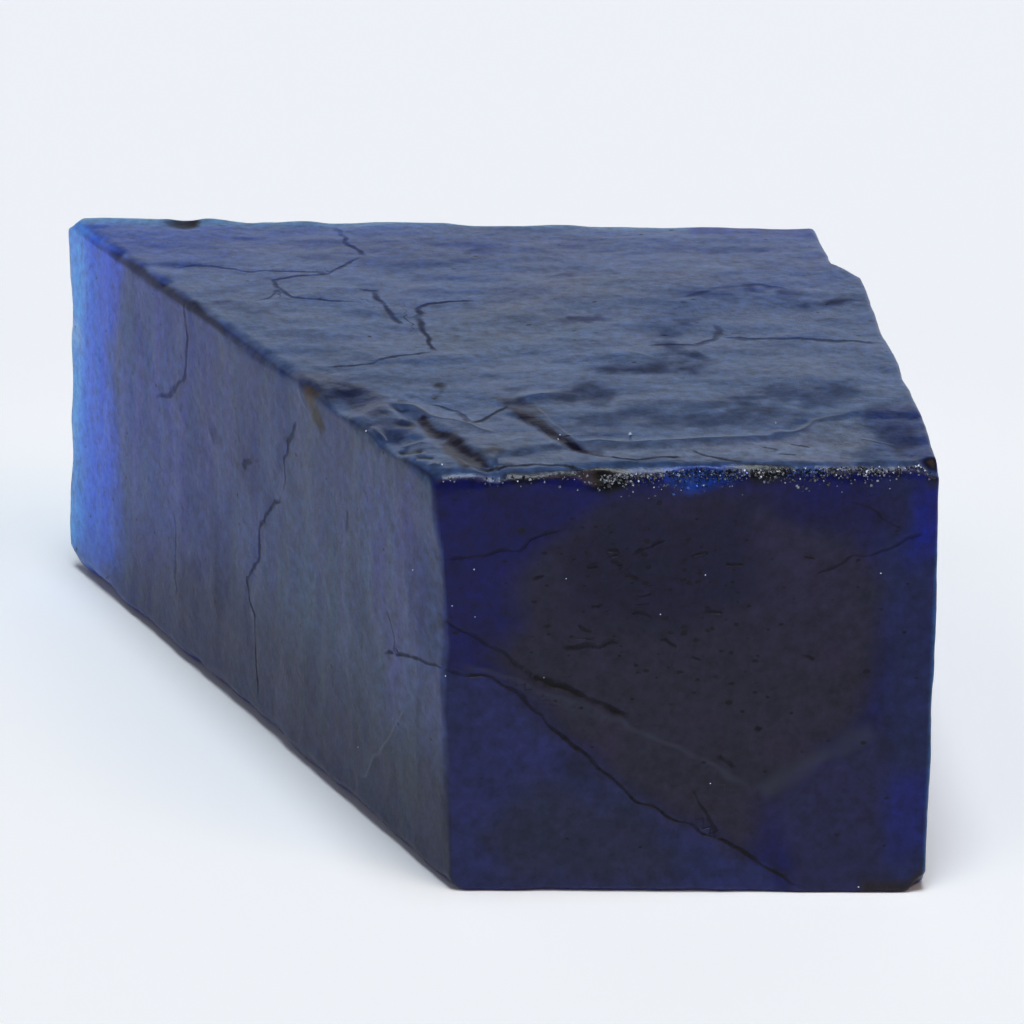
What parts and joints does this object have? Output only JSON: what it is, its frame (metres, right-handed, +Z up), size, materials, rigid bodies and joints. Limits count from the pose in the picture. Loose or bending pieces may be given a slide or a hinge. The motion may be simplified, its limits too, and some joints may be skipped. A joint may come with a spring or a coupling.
{
  "type": "rough tanzanite",
  "caption": "Rough tanzanite block: a skewed four-sided prism of deep blue crystal with a cleaved top, chipped edges and a flat underside to rest on.",
  "frame": {"origin": "middle of the bounding box, on the plane of the flat underside that it rests on", "axes": "+Z up from the underside and along the shortest extent, +X along the width, which is the longest extent, with the upright front face on the -Y side"},
  "size_m": [0.0396, 0.0364, 0.0186],
  "materials": {
    "tanzanite": "frosted deep blue crystal, see-through at thin edges"
  },
  "bodies": {
    "root": {"stone": "tanzanite"}
  },
  "joints": []
}
